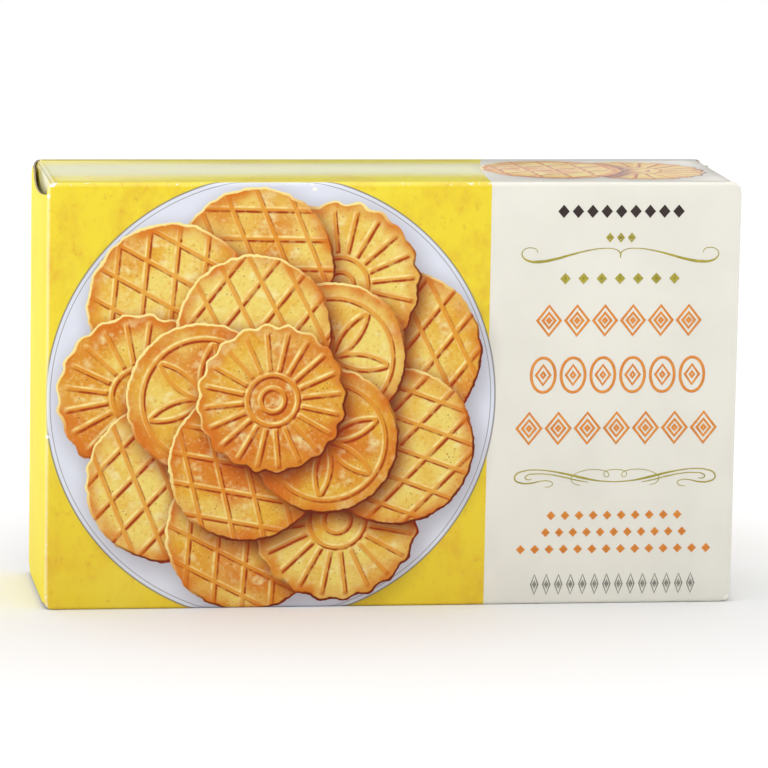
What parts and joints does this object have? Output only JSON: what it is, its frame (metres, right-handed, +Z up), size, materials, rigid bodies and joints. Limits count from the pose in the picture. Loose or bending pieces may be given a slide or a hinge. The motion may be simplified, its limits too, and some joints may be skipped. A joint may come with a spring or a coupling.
{
  "type": "biscuit carton",
  "caption": "Shut folding carton of waffle biscuits: a printed paperboard box with glued end flaps, standing on its long narrow side.",
  "frame": {"origin": "middle of the bottom panel, on the surface that the carton stands on", "axes": "+X along the front panel to its right, +Y from the front panel to the back panel, +Z up"},
  "size_m": [0.206, 0.058, 0.1265],
  "materials": {
    "printed_board": "printed paperboard with a gloss coat"
  },
  "bodies": {
    "root": {"carton": "printed_board"}
  },
  "joints": []
}
